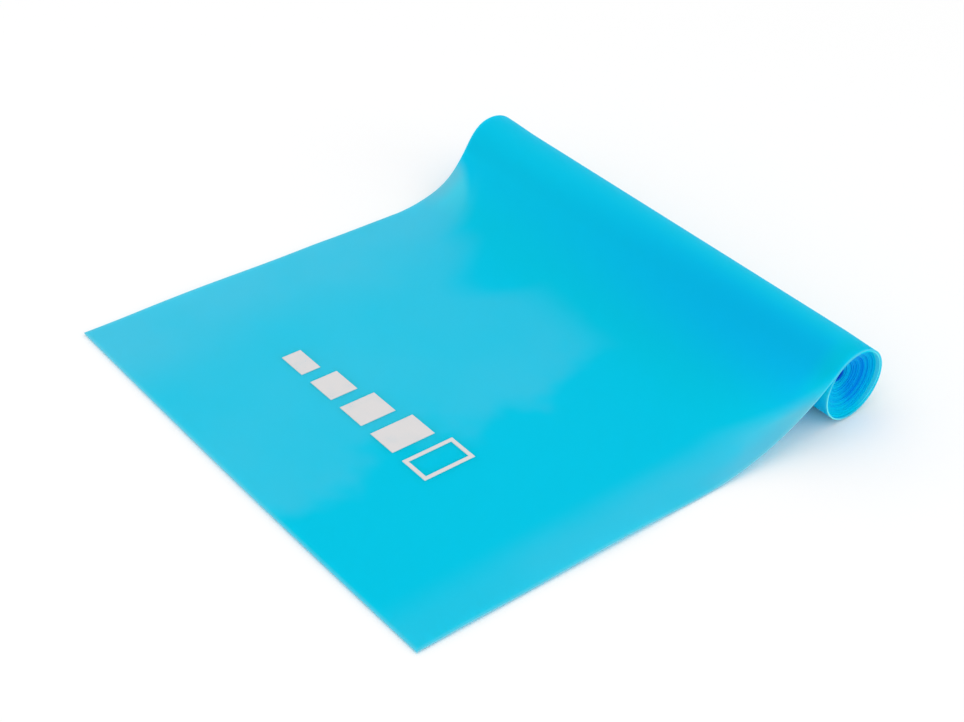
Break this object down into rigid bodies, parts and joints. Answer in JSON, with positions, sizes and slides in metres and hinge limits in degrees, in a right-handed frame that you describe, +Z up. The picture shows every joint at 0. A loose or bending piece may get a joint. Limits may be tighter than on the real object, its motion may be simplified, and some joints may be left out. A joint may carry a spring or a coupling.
{
  "type": "stretching strap",
  "caption": "Wide flat latex exercise strap, its free end laid out flat and the rest wound into a loose roll that pays out, stretches and lifts.",
  "frame": {"origin": "on the table, under the middle of the object's bounding box", "axes": "+X along the strap from the free end to the roll, +Y across the strap away from the sunken end of the roll, +Z up"},
  "size_m": [0.1536, 0.155, 0.0213],
  "materials": {
    "latex": "satin cyan-blue latex sheet, faintly translucent",
    "ink": "matt pale grey screen print"
  },
  "bodies": {
    "wound_strap": {"rising_span": "latex", "outer_wrap": "latex"},
    "roll_core": {"inner_roll": "latex"},
    "laid_strap": {"laid_foot": "latex"},
    "lifted_flap": {"fold_strip": "latex", "stretch_span": "latex"},
    "pulled_end": {"free_end_panel": "latex", "strength_gauge": "ink"}
  },
  "joints": [
    {"name": "roll_turn", "type": "hinge", "parent": "wound_strap", "child": "roll_core", "pos_m": [0.0661, 0, 0.01065], "axis": [0, -1, 0], "range_deg": [0, 360], "deforming": ["outer_wrap"]},
    {"name": "pay_out", "type": "slide", "parent": "wound_strap", "child": "laid_strap", "axis": [-1, 0, 0], "range_m": [0, 0.0659], "deforming": ["rising_span"]},
    {"name": "end_lift", "type": "hinge", "parent": "laid_strap", "child": "lifted_flap", "pos_m": [0.00725, 0, 0.00035], "axis": [0, 1, 0], "range_deg": [0, 150]},
    {"name": "stretch", "type": "slide", "parent": "lifted_flap", "child": "pulled_end", "axis": [-1, 0, 0], "range_m": [0, 0.084], "stiffness_N_per_m": 310, "deforming": ["stretch_span"]}
  ],
  "couplings": [
    {"joint": "pay_out", "follows": "roll_turn", "m_per_rad": 0.010475}
  ]
}
